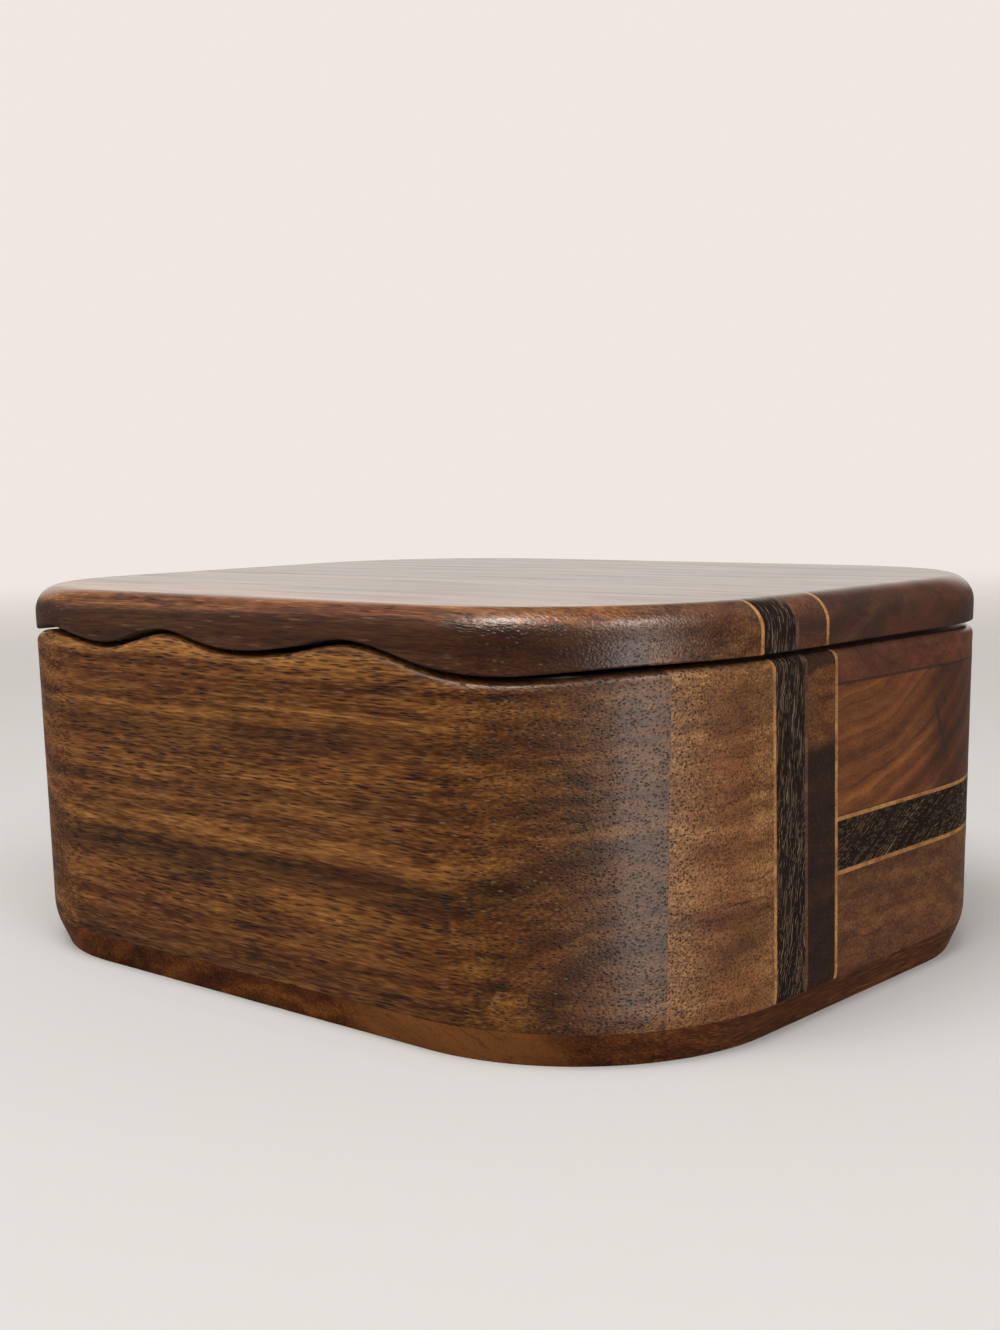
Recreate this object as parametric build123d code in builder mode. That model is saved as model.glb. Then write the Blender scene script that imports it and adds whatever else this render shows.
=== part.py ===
from build123d import *
from math import atan2, degrees
import os

# A valet box sawn from one laminated block: walnut boards glued up with wenge strips and
# maple lines, hollowed out, with a base plate glued on underneath. The lid is cut from the
# same block along a wavy saw line and hangs on two brass hinges at the back.
# X runs to the right, Y to the back and Z up. The origin is on the table, under the middle
# of the block.

# Block
box_width = 210.0
box_depth = 254.0
box_height = 107.0
corner_radius = 63.0
side_lean = 2.4
lid_roundover = 7.5
foot_bevel_rise = 9.0
foot_bevel_run = 4.0
foot_bevel_blend = 18.0

# Hollow and rim
wall_thickness = 13.0
base_thickness = 8.7
rim_outer_round = 2.5
rim_inner_round = 1.0
lid_lower_round = 0.5

# Saw line between body and lid: where its turning points lie along the depth, front to back,
# and how high they are between the lowest trough and the highest crest
lid_drop = 16.1
wave_height = 6.7
saw_kerf = 1.4
seam_turn_shares = (
    (-0.040, 0.40),
    (0.080, 0.22),
    (0.154, 0.00),
    (0.231, 0.31),
    (0.335, 1.00),
    (0.395, 0.67),
    (0.473, 0.33),
    (0.539, 0.50),
    (0.604, 0.94),
    (0.704, 0.25),
    (0.808, 0.74),
    (0.908, 0.30),
    (1.040, 0.30),
)

# Boards and strips in the body, from the left, measured at the base plate
left_board_width = 31.1
second_board_width = 31.75
strip_lean_share = 0.040
left_line_width = 1.15
wenge_strip_width = 12.7
cherry_line_width = 1.4
walnut_strip_width = 12.8
right_line_width = 1.3

# Layers right of the strips, from the base plate up
lower_board_thickness = 26.75
lower_line_thickness = 1.15
wenge_band_thickness = 12.75
upper_line_thickness = 1.05
top_board_thickness = 23.0

# Boards and strips in the lid, from the left
lid_left_board_width = 26.6
lid_second_board_width = 28.4
lid_left_line_width = 1.15
lid_wenge_strip_width = 12.95
lid_cherry_line_width = 1.6
lid_walnut_strip_width = 12.55
lid_right_line_width = 1.25

# Floor lining
lining_thickness = 2.0
lining_clearance = 0.3
lining_edge_round = 0.8

# Hinges
hinge_width = 32.0
hinge_spacing = 46.0
barrel_diameter = 5.0
barrel_standoff = 0.4
pin_diameter = 2.4
pin_clearance = 0.05
pin_head_round = 0.3
knuckle_count = 5
knuckle_gap = 0.25
leaf_thickness = 1.4
leaf_gap = 0.3
leaf_margin = 3.0
leaf_corner_round = 1.0
mortise_clearance = 0.15
knuckle_swing_clearance = 0.4

# Hinge screws
screw_count = 3
screw_head_diameter = 4.4
screw_shank_diameter = 2.2
screw_head_height = 1.1
screw_length = 9.0
screw_point_length = 2.0
screw_clearance = 0.05
screw_slot_width = 0.6
screw_slot_depth = 0.5
screw_pitch = 11.0

# How far cuts run past what they cut
overrun = 20.0

os.makedirs("parts", exist_ok=True)

side_lean_angle = degrees(atan2(side_lean, box_height))
foot_bevel_angle = degrees(atan2(foot_bevel_run, foot_bevel_rise))
hollow_width = box_width - 2 * wall_thickness
hollow_depth = box_depth - 2 * wall_thickness
hollow_radius = corner_radius - wall_thickness
seam_low = box_height - lid_drop
ceiling = box_height + overrun

# The hinge pins stand clear behind the back face, level with the middle of the saw line
pin_y = box_depth / 2 + barrel_standoff + barrel_diameter / 2
pin_z = seam_low + wave_height * seam_turn_shares[-1][1]
leaf_inner_y = box_depth / 2 - wall_thickness + leaf_margin
leaf_reach = pin_y - leaf_inner_y
screw_y = (leaf_inner_y + box_depth / 2 - side_lean) / 2
hinge_centres = {"left": -hinge_spacing / 2, "right": hinge_spacing / 2}
leaf_facing = {"body": 1, "lid": -1}
knuckle_pitch = hinge_width / knuckle_count


def export(piece, name):
    """Label a finished piece and write it as its own file."""
    piece.part.label = name
    export_step(piece.part, f"parts/{name}.step")


def above_seam(lift):
    """Make everything above the saw line, with the line raised by lift."""
    turns = [
        (box_depth * depth_share - box_depth / 2, seam_low + wave_height * rise_share + lift)
        for depth_share, rise_share in seam_turn_shares
    ]
    with BuildPart() as region:
        with BuildSketch(Plane.YZ.offset(-box_width / 2 - overrun)):
            with BuildLine():
                wave = Spline(*turns, tangents=[(1, 0), (1, 0)])
                Polyline(wave @ 1, (turns[-1][0], ceiling), (turns[0][0], ceiling), wave @ 0)
            make_face()
        extrude(amount=box_width + 2 * overrun)
    return region.part


def screw_places(centre_x):
    """List the screws' places along one hinge leaf, seen from above."""
    return [
        (centre_x + screw_pitch * (number - (screw_count - 1) / 2), screw_y)
        for number in range(screw_count)
    ]


def leaf_plane(side, place=(0, 0)):
    """Give a plane on a leaf's open face, which looks up on the body and down on the lid."""
    facing = leaf_facing[side]
    return Plane((*place, pin_z - facing * leaf_gap / 2), x_dir=(1, 0, 0), z_dir=(0, 0, facing))


def screw_planes(side):
    """List the planes of one side's screw heads, over both hinges."""
    return [
        leaf_plane(side, place)
        for centre_x in hinge_centres.values()
        for place in screw_places(centre_x)
    ]


def hinge_seats(side):
    """Make what the mortises and pilot holes for one side's leaves take out of the wood."""
    seat_inner = leaf_inner_y - mortise_clearance
    seat_length = pin_y + overrun - seat_inner
    with BuildPart() as seats:
        for centre_x in hinge_centres.values():
            seat_plane = leaf_plane(side, (centre_x, seat_inner + seat_length / 2))
            with BuildSketch(seat_plane.offset(-leaf_thickness)):
                Rectangle(hinge_width + 2 * mortise_clearance, seat_length)
            extrude(amount=leaf_thickness + saw_kerf)
        with Locations(*screw_planes(side)):
            Cylinder(
                screw_shank_diameter / 2 + screw_clearance,
                screw_length + screw_clearance,
                align=(Align.CENTER, Align.CENTER, Align.MAX),
            )
    return seats.part


# The whole block before it is hollowed and sawn: sides that lean in towards the table, a
# rounded lid edge and a foot edge that is bevelled and blended into the sides
with BuildPart() as block:
    with BuildSketch(Plane.XY.offset(box_height)):
        RectangleRounded(box_width, box_depth, corner_radius)
    extrude(amount=foot_bevel_rise - box_height, taper=side_lean_angle)
    extrude(block.faces().sort_by(Axis.Z)[0], amount=foot_bevel_rise, taper=foot_bevel_angle)
    fillet(block.faces().sort_by(Axis.Z)[-1].edges(), lid_roundover)
    # From the table up, the edges are the foot's ring, the bevel's corners and its upper ring
    fillet(block.edges().group_by(Axis.Z)[2], foot_bevel_blend)

# Base plate
with BuildPart() as base_plate:
    add(block.part)
    split(bisect_by=Plane.XY.offset(base_thickness), keep=Keep.BOTTOM)
export(base_plate, "base_plate")

# The hollowed body above the base plate, with its rim eased and the hinges let in
with BuildPart() as body_block:
    add(block.part)
    split(bisect_by=Plane.XY.offset(base_thickness), keep=Keep.TOP)
    add(above_seam(-saw_kerf / 2), mode=Mode.SUBTRACT)
    with BuildSketch(Plane.XY.offset(base_thickness)):
        RectangleRounded(hollow_width, hollow_depth, hollow_radius)
    extrude(amount=box_height, mode=Mode.SUBTRACT)
    rim = body_block.faces().filter_by(GeomType.EXTRUSION)[0]
    fillet(rim.outer_wire().edges(), rim_outer_round)
    rim = body_block.faces().filter_by(GeomType.EXTRUSION)[0]
    fillet(rim.inner_wires()[0].edges(), rim_inner_round)
    add(hinge_seats("body"), mode=Mode.SUBTRACT)

# The lid, with its lower edge eased and the hinges let in
with BuildPart() as lid_block:
    add(block.part)
    add(above_seam(saw_kerf / 2), mode=Mode.INTERSECT)
    fillet(lid_block.faces().filter_by(GeomType.EXTRUSION)[0].edges(), lid_lower_round)
    add(hinge_seats("lid"), mode=Mode.SUBTRACT)


def edge_x(edge, height):
    """Give a board edge's place at a height; an edge is its place at the base plate and its lean."""
    place, lean_share = edge
    return place - lean_share * (height - base_thickness)


def lamination(whole, name, left_edge, right_edge, low, high, side="both"):
    """Cut one board, strip or line out of the body or the lid.

    The piece lies between two edges seen from the front and between the heights low and high.
    side keeps its front half, its back half or both.
    """
    reach = box_depth / 2 + overrun
    with BuildPart() as piece:
        add(whole.part)
        with BuildSketch(Plane.XZ):
            with BuildLine():
                Polyline(
                    (edge_x(left_edge, low), low),
                    (edge_x(right_edge, low), low),
                    (edge_x(right_edge, high), high),
                    (edge_x(left_edge, high), high),
                    close=True,
                )
            make_face()
        amount = -reach if side == "back" else reach
        extrude(amount=amount, both=side == "both", mode=Mode.INTERSECT)
    export(piece, name)


left_outside = (-box_width / 2 - overrun, 0)
right_outside = (box_width / 2 + overrun, 0)
board_joint = (left_board_width - box_width / 2, 0)
strips_start = (board_joint[0] + second_board_width, strip_lean_share)

# Left end of the body: one board that runs round the end of the hollow
lamination(body_block, "left_board", left_outside, board_joint, base_thickness, ceiling)

# Second board and strips, each through the front wall and again through the back wall
body_strips = {
    "maple_line_left": left_line_width,
    "wenge_strip": wenge_strip_width,
    "cherry_line": cherry_line_width,
    "walnut_strip": walnut_strip_width,
    "maple_line_right": right_line_width,
}
for side in ("front", "back"):
    left_edge = board_joint
    right_edge = strips_start
    lamination(body_block, f"{side}_second_board", left_edge, right_edge, base_thickness, ceiling, side)
    for name, width in body_strips.items():
        left_edge = right_edge
        right_edge = (left_edge[0] + width, strip_lean_share)
        lamination(body_block, f"{side}_{name}", left_edge, right_edge, base_thickness, ceiling, side)

# Right end of the body: layers that run round the end of the hollow, from the base plate up
right_start = (strips_start[0] + sum(body_strips.values()), strip_lean_share)
lower_line_height = base_thickness + lower_board_thickness
wenge_band_height = lower_line_height + lower_line_thickness
upper_line_height = wenge_band_height + wenge_band_thickness
middle_board_height = upper_line_height + upper_line_thickness
top_board_height = box_height - top_board_thickness
right_layers = (
    ("right_lower_board", base_thickness, lower_line_height),
    ("right_lower_maple_line", lower_line_height, wenge_band_height),
    ("right_wenge_band", wenge_band_height, upper_line_height),
    ("right_upper_maple_line", upper_line_height, middle_board_height),
    ("right_middle_board", middle_board_height, top_board_height),
    ("right_top_board", top_board_height, ceiling),
)
for name, low, high in right_layers:
    lamination(body_block, name, right_start, right_outside, low, high)

# Lid: boards and strips from left to right
lid_strips = {
    "lid_maple_line_left": lid_left_line_width,
    "lid_wenge_strip": lid_wenge_strip_width,
    "lid_cherry_line": lid_cherry_line_width,
    "lid_walnut_strip": lid_walnut_strip_width,
    "lid_maple_line_right": lid_right_line_width,
}
lid_joint = (lid_left_board_width - box_width / 2, 0)
left_edge = lid_joint
right_edge = (lid_joint[0] + lid_second_board_width, 0)
lamination(lid_block, "lid_left_board", left_outside, lid_joint, base_thickness, ceiling)
lamination(lid_block, "lid_second_board", left_edge, right_edge, base_thickness, ceiling)
for name, width in lid_strips.items():
    left_edge = right_edge
    right_edge = (left_edge[0] + width, 0)
    lamination(lid_block, name, left_edge, right_edge, base_thickness, ceiling)
lamination(lid_block, "lid_right_board", right_edge, right_outside, base_thickness, ceiling)

# Suede lining laid on the base plate inside the hollow
with BuildPart() as floor_lining:
    with BuildSketch(Plane.XY.offset(base_thickness)):
        RectangleRounded(
            hollow_width - 2 * lining_clearance,
            hollow_depth - 2 * lining_clearance,
            hollow_radius - lining_clearance,
        )
    extrude(amount=lining_thickness)
    fillet(floor_lining.faces().sort_by(Axis.Z)[-1].edges(), lining_edge_round)
export(floor_lining, "floor_lining")


def hinge_leaf(centre_x, side):
    """Make one hinge leaf: a screwed plate with knuckles rolled round the pin.

    The body's leaf has the outer and middle knuckles and the lid's leaf those between them.
    """
    own_first = 0 if side == "body" else 1
    knuckles = [
        (number, centre_x + knuckle_pitch * (number - (knuckle_count - 1) / 2))
        for number in range(knuckle_count)
    ]
    own_places = [place for number, place in knuckles if number % 2 == own_first]
    other_places = [place for number, place in knuckles if number % 2 != own_first]
    swing_reach = barrel_diameter / 2 + knuckle_swing_clearance
    with BuildPart() as leaf:
        with BuildSketch(leaf_plane(side, (centre_x, pin_y - leaf_reach / 2))):
            Rectangle(hinge_width, leaf_reach)
        extrude(amount=-leaf_thickness)
        inner_corners = leaf.edges().filter_by(Axis.Z).group_by(Axis.Y)[0]
        fillet(inner_corners, leaf_corner_round)
        for place in other_places:
            with BuildSketch(leaf_plane(side, (place, pin_y))):
                Rectangle(knuckle_pitch + knuckle_gap, 2 * swing_reach)
            extrude(amount=-leaf_thickness, mode=Mode.SUBTRACT)
        for place in own_places:
            with BuildSketch(Plane.YZ.offset(place)):
                with Locations((pin_y, pin_z)):
                    Circle(barrel_diameter / 2)
            extrude(amount=(knuckle_pitch - knuckle_gap) / 2, both=True)
        with BuildSketch(Plane.YZ.offset(centre_x)):
            with Locations((pin_y, pin_z)):
                Circle(pin_diameter / 2 + pin_clearance)
        extrude(amount=hinge_width, both=True, mode=Mode.SUBTRACT)
        with Locations(*[leaf_plane(side, place) for place in screw_places(centre_x)]):
            CounterSinkHole(
                screw_shank_diameter / 2 + screw_clearance,
                screw_head_diameter / 2 + screw_clearance,
                depth=2 * leaf_thickness,
            )
    return leaf


for hinge_side, centre_x in hinge_centres.items():
    export(hinge_leaf(centre_x, "body"), f"{hinge_side}_hinge_body_leaf")
    export(hinge_leaf(centre_x, "lid"), f"{hinge_side}_hinge_lid_leaf")
    with BuildPart() as hinge_pin:
        with BuildSketch(Plane.YZ.offset(centre_x)):
            with Locations((pin_y, pin_z)):
                Circle(pin_diameter / 2)
        extrude(amount=hinge_width / 2, both=True)
        fillet(hinge_pin.edges().filter_by(GeomType.CIRCLE), pin_head_round)
    export(hinge_pin, f"{hinge_side}_hinge_pin")

# Slotted countersunk wood screw, its head level with the plane that it stands on
with BuildPart() as wood_screw:
    with BuildSketch(Plane.XZ):
        with BuildLine():
            Polyline(
                (0, 0),
                (screw_head_diameter / 2, 0),
                (screw_shank_diameter / 2, -screw_head_height),
                (screw_shank_diameter / 2, screw_point_length - screw_length),
                (0, -screw_length),
                close=True,
            )
        make_face()
    revolve(axis=Axis.Z)
    with BuildSketch(Plane.XY):
        Rectangle(screw_head_diameter, screw_slot_width)
    extrude(amount=-screw_slot_depth, mode=Mode.SUBTRACT)

for side in leaf_facing:
    with BuildPart() as hinge_screws:
        with Locations(*screw_planes(side)):
            add(wood_screw.part)
    export(hinge_screws, f"{side}_hinge_screws")
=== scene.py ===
"""Looks of a valet box: oiled walnut boards laminated with wenge strips and maple lines."""

import logging
import math
from dataclasses import dataclass, field, replace
from enum import Enum
from typing import Any

import bpy
from mathutils import Matrix, Vector


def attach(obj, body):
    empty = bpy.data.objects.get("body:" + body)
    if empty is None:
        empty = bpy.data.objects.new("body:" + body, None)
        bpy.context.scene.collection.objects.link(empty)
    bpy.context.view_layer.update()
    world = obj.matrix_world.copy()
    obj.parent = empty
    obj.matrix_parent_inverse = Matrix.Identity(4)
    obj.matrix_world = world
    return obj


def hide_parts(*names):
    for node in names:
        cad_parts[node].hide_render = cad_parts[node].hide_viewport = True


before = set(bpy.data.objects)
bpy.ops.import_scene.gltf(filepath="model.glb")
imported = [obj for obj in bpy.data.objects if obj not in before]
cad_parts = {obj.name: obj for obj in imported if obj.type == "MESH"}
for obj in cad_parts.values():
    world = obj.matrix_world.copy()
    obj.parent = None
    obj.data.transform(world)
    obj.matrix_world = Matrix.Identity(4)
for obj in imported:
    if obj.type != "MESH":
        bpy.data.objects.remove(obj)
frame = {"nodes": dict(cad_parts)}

log = logging.getLogger("valet_box")

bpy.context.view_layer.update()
MM = 0.001
PER_MM = 1.0 / MM

# A node, which stands for its first output, or one of its outputs.
Signal = bpy.types.Node | bpy.types.NodeSocket

# Settings that several nodes share.
SMOOTH = {"interpolation_type": "SMOOTHSTEP"}
LESS = {"operation": "SUBTRACT"}
TIMES = {"operation": "MULTIPLY"}
TIMES_PLUS = {"operation": "MULTIPLY_ADD"}
DIVIDED = {"operation": "DIVIDE"}
LARGER = {"operation": "MAXIMUM"}
LENGTH = {"operation": "LENGTH"}
ONE_AXIS = {"noise_dimensions": "1D"}
COLOURS = {"data_type": "RGBA"}
SHADES = {"data_type": "RGBA", "blend_type": "MULTIPLY"}

# Sockets of a Mix node for colours: the amount, the two colours that go in, and what comes out.
AMOUNT, FIRST, SECOND, MIXED = 0, 6, 7, 2


def linear(colour: str) -> tuple[float, float, float, float]:
    """Turn an sRGB hex colour into linear red, green, blue and alpha.

    Args:
        colour: six hex digits after a hash sign.

    Returns:
        The linear colour, fully opaque.
    """
    shares = [int(colour[start:start + 2], 16) / 255 for start in (1, 3, 5)]
    toe, slope, offset, power = 0.04045, 12.92, 0.055, 2.4
    red, green, blue = (
        share / slope if share <= toe else ((share + offset) / (1 + offset)) ** power
        for share in shares
    )
    return (red, green, blue, 1.0)


def add_node(
    tree: bpy.types.NodeTree,
    kind: str,
    settings: dict[str, Any] | None = None,
    inputs: dict[str | int, Any] | list[Any] | None = None,
    stops: list[tuple[float, tuple[float, ...]]] | None = None,
) -> bpy.types.Node:
    """Add one shader node with its settings and links.

    Args:
        tree: the node tree that gets it.
        kind: the node's type, without the start that all shader nodes share.
        settings: its properties by name.
        inputs: its input sockets by name or number, or in their order, each with a value or
            with the signal to link from.
        stops: places and colours, where the node is a colour ramp.

    Returns:
        The new node.
    """
    node = tree.nodes.new(f"ShaderNode{kind}")
    for name, value in (settings or {}).items():
        setattr(node, name, value)
    for key, value in inputs.items() if isinstance(inputs, dict) else enumerate(inputs or []):
        source = value.outputs[0] if isinstance(value, bpy.types.Node) else value
        if isinstance(source, bpy.types.NodeSocket):
            tree.links.new(source, node.inputs[key])
        else:
            node.inputs[key].default_value = source
    for number, (place, colour) in enumerate(stops or []):
        elements = node.color_ramp.elements
        element = elements[number] if number < len(elements) else elements.new(place)
        element.position = place
        element.color = colour
    return node


def start_material(name: str) -> tuple[bpy.types.Material, bpy.types.NodeTree]:
    """Start a material that has no nodes yet.

    Args:
        name: the material's name.

    Returns:
        The material and its node tree.
    """
    material = bpy.data.materials.new(name)
    material.use_nodes = True
    material.node_tree.nodes.clear()
    return material, material.node_tree


class Grain(Enum):
    """Which way a board's fibres run, as the turn that brings them to the pattern's own Y."""

    ALONG_DEPTH = 0.0
    ALONG_WIDTH = 90.0


@dataclass(frozen=True)
class GrowthBand:
    """One band of rings that is darker than its neighbours.

    Attributes:
        distance: how far from the tree's heart its middle lies, in mm.
        half_width: half its width, in mm.
        depth: how much light it takes, as a share.
        soft_share: how much of its half width fades out.
    """

    distance: float
    half_width: float
    depth: float
    soft_share: float = 1.0


@dataclass(frozen=True)
class StainAndShade:
    """One zone of a board with another colour: a real stain or glue line in the wood, or a painted
    shade.

    Attributes:
        centre: its middle in the box, in mm.
        reach: how far it reaches along each axis, in mm.
        colour: its sRGB colour.
        share: how far the wood takes that colour.
        soft_share: how much of its reach fades out.
        turn: how far it is turned about the Y axis, in degrees.
        blend: how its colour meets the wood's own.
    """

    centre: tuple[float, float, float]
    reach: tuple[float, float, float]
    colour: str
    share: float
    soft_share: float = 0.6
    turn: float = 0.0
    blend: str = "MIX"


# Sizes of the wood's patterns across, along and up a board, in mm.
STREAK_SIZE = (6.0, 55.0, 2.6)
CLUSTER_SIZE = (3.0, 9.0, 2.0)
ZONE_SIZE = (16.0, 60.0, 12.0)
WANDER_SIZE = (24.0, 110.0, 24.0)
RIPPLE_SIZE = (5.0, 40.0, 5.0)
LINE_PIECE_LENGTH = 30.0

# Width of a fibre, as a share of the pores' spacing.
FIBRE_WIDTH_SHARE = 0.75

# The part of a direction that lies across the grain.
ACROSS_GRAIN = (1.0, 0.0, 1.0)

# A cloudy pattern lies round a middle grey and strays a quarter from it, and a feature comes or
# goes between two of its levels.
MIDDLE_GREY = 0.5
STRAY_SCALE = 4.0
TONE_START, TONE_SPAN = 0.22, 0.56
BLUSH_LEVELS = (0.5, 0.7)
CLUSTER_LEVELS = (0.38, 0.5)
DARK_STREAK_LEVELS = (0.4, 0.62)
SATIN_STREAK_LEVELS = (0.3, 0.6)
LINE_GAP_SOFTNESS = 0.15

# Growth lines: how unevenly they stand, in spacings, and where their soft edge lies, in widths.
LINE_UNEVENNESS = 3.0
LINE_EDGE_SHARES = (0.2, 0.6)

# Pores: where a pore's edge lies in its cell, the draws that leave it empty or fill it, how dark
# the faintest is, and how much crowding is left in a pale streak.
PORE_EDGE_SHARES = (0.2, 0.46)
EMPTY_DRAWS = (0.0, 0.5)
FILLED_DRAWS = (0.88, 0.92)
FAINTEST_PORE_SHARE = 0.2
PALE_STREAK_SHARE = 0.1

# Colours that the wood's own colour is multiplied by, and the colour of a filled pore.
CLUSTER_SHADE = "#958681"
BAND_SHADE = "#595050"
PORE_SHADE = "#615045"
FILLED_PORE = "#b98c5c"

# The oil film: where a face counts as seen at a slant, where it counts as level, and how much
# an upright face and a face seen straight on mirror.
SLANT_FACINGS = (0.62, 0.92)
LEVEL_RISES = (0.35, 0.92)
UPRIGHT_MIRROR = 0.025
STRAIGHT_MIRROR = 0.008
DULL_STREAK_MIRROR = 0.85

# Roughness: what a pore has, and what a slanted look adds, which softens the edges of round forms.
PORE_DEPTHS = (0.0, 0.6)
PORE_ROUGHNESS = 0.8
SOFTENED_FACINGS = (0.3, 0.6)
ADDED_ROUGHNESS = 0.5

# Relief: how far fibres rise and pores sink, as shares of its depth, and that depth in mm.
FIBRE_RISE_SHARE = 0.6
PORE_RISE_SHARE = -0.5
RELIEF_DEPTH = 0.3


@dataclass(frozen=True)
class OiledWood:
    """Sawn and sanded hardwood with a satin oil finish.

    Solid wood shows its rings as bands, and its pores as dashes on long grain and as dots on
    end grain, so every pattern is cut from one block in space. The oil gives the eye a deep warm
    colour with a soft sheen, and a near mirror where a level face is seen at a slant.

    Attributes:
        name: the material's name.
        tones: sRGB colours from the darkest ring to the palest fibre.
        heart: where the tree's heart lies, seen along the fibres, in mm.
        ring_width: spacing of the broad colour bands, in mm.
        band_share: how strongly the broad bands show.
        streak_share: how strongly long level streaks show.
        patch_share: how dark the clusters of pores are.
        fibre_share: how strongly single fibres show.
        line_colour: sRGB colour of the thin growth lines.
        line_spacing: spacing of those lines, in mm.
        line_share: how strongly they show.
        line_break: how long an unbroken piece of such a line is, across and up, in mm.
        line_width: how wide such a line is, in mm.
        line_gap: how large the gaps in such a line are, as a level of the breaking pattern.
        pore_share: how dark the pores are.
        pore_rest: how much of that they keep outside the clusters.
        pore_spacing: spacing of the pores across the grain, in mm.
        pore_length: length of the pores along the grain, in mm.
        fleck_share: how pale the filled pores are.
        wander: how far the rings wander off their circles, in mm.
        ripple: how far they ripple, in mm.
        gloss: how strongly the bare wood mirrors, as a specular level.
        roughness: how rough it is between its pores.
        blush: sRGB colour of the redder zones.
        blush_share: how strongly those zones show.
        bands: the bands of rings that stand out.
        stains_and_shades: the zones of another colour, real stains and painted shade.
        grain: which way the fibres run.
        seed: shift along the grain that makes this board differ from others, in mm.
    """

    name: str
    tones: tuple[str, ...]
    heart: tuple[float, float]
    ring_width: float = 7.0
    band_share: float = 0.5
    streak_share: float = 0.4
    patch_share: float = 0.4
    fibre_share: float = 0.8
    line_colour: str = "#2a140a"
    line_spacing: float = 3.2
    line_share: float = 0.35
    line_break: tuple[float, float] = (9.0, 9.0)
    line_width: float = 0.5
    line_gap: float = 0.4
    pore_share: float = 0.6
    pore_rest: float = 0.5
    # Real pores stand about 0.3 mm apart, too fine to show, so they are drawn this coarse.
    pore_spacing: float = 0.7
    pore_length: float = 7.0
    fleck_share: float = 0.1
    wander: float = 3.0
    ripple: float = 0.5
    gloss: float = 0.065
    roughness: float = 0.42
    blush: str = "#6b3318"
    blush_share: float = 0.3
    bands: tuple[GrowthBand, ...] = ()
    stains_and_shades: tuple[StainAndShade, ...] = ()
    grain: Grain = Grain.ALONG_DEPTH
    seed: float = 0.0

    def cloud(
        self,
        tree: bpy.types.NodeTree,
        place: Signal,
        size: tuple[float, float, float],
        detail: float,
    ) -> bpy.types.Node:
        """Add a cloudy pattern with a real size across, along and up the board.

        Args:
            tree: the node tree.
            place: the place in the board, in mm.
            size: the pattern's size on each axis, in mm.
            detail: how many finer layers it has.

        Returns:
            The noise node.
        """
        scaled = add_node(tree, "VectorMath", DIVIDED, [place, size])
        return add_node(tree, "TexNoise", inputs={"Vector": scaled, "Scale": 1.0, "Detail": detail})

    def weigh(
        self, tree: bpy.types.NodeTree, total: Signal | float, part: Signal, share: float
    ) -> Signal:
        """Add a share of one pattern, counted from its middle grey, to a running total.

        Args:
            tree: the node tree.
            total: the total so far.
            part: the pattern.
            share: how much of it is added.

        Returns:
            The new total.
        """
        off_grey = add_node(tree, "Math", LESS, [part, MIDDLE_GREY])
        return add_node(tree, "Math", TIMES_PLUS, [off_grey, share, total])

    def heart_distance(self, tree: bpy.types.NodeTree, place: Signal) -> Signal:
        """Add the distance from the heart, with the rings' wander and ripple.

        Args:
            tree: the node tree.
            place: the place in the board, in mm.

        Returns:
            The distance, in mm.
        """
        shifted = place
        for size, reach in ((WANDER_SIZE, self.wander), (RIPPLE_SIZE, self.ripple)):
            noise = self.cloud(tree, place, size, detail=1.0).outputs["Color"]
            off_grey = add_node(tree, "VectorMath", LESS, [noise, (MIDDLE_GREY,) * 3])
            sway = [STRAY_SCALE * reach * share for share in ACROSS_GRAIN]
            shifted = add_node(tree, "VectorMath", TIMES_PLUS, [off_grey, sway, shifted])
        across = add_node(tree, "VectorMath", TIMES, [shifted, ACROSS_GRAIN])
        return add_node(tree, "VectorMath", LENGTH, [across]).outputs["Value"]

    def ground(
        self,
        tree: bpy.types.NodeTree,
        place: Signal,
        distance: Signal,
        streak: Signal,
        fibre: Signal,
    ) -> Signal:
        """Colour the wood by its broad bands, streaks and fibres, with redder zones.

        Args:
            tree: the node tree.
            place: the place in the board, in mm.
            distance: the distance from the heart, in mm.
            streak: the pattern of long streaks.
            fibre: the pattern of single fibres.

        Returns:
            The colour.
        """
        broad = add_node(
            tree, "TexNoise", ONE_AXIS, {"W": distance, "Scale": 1.0 / self.ring_width, "Detail": 1.0}
        )
        tone = self.weigh(tree, MIDDLE_GREY, broad, self.band_share)
        tone = self.weigh(tree, tone, streak, self.streak_share)
        tone = self.weigh(tree, tone, fibre, self.fibre_share)
        last = len(self.tones) - 1
        stops = [
            (TONE_START + TONE_SPAN * number / last, linear(shade))
            for number, shade in enumerate(self.tones)
        ]
        colour = add_node(tree, "ValToRGB", inputs=[tone], stops=stops)
        zone = self.cloud(tree, place, ZONE_SIZE, detail=1.0)
        redder = add_node(tree, "MapRange", SMOOTH, [zone, *BLUSH_LEVELS, 0.0, self.blush_share])
        blushed = {AMOUNT: redder, FIRST: colour, SECOND: linear(self.blush)}
        return add_node(tree, "Mix", COLOURS, blushed).outputs[MIXED]

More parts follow.
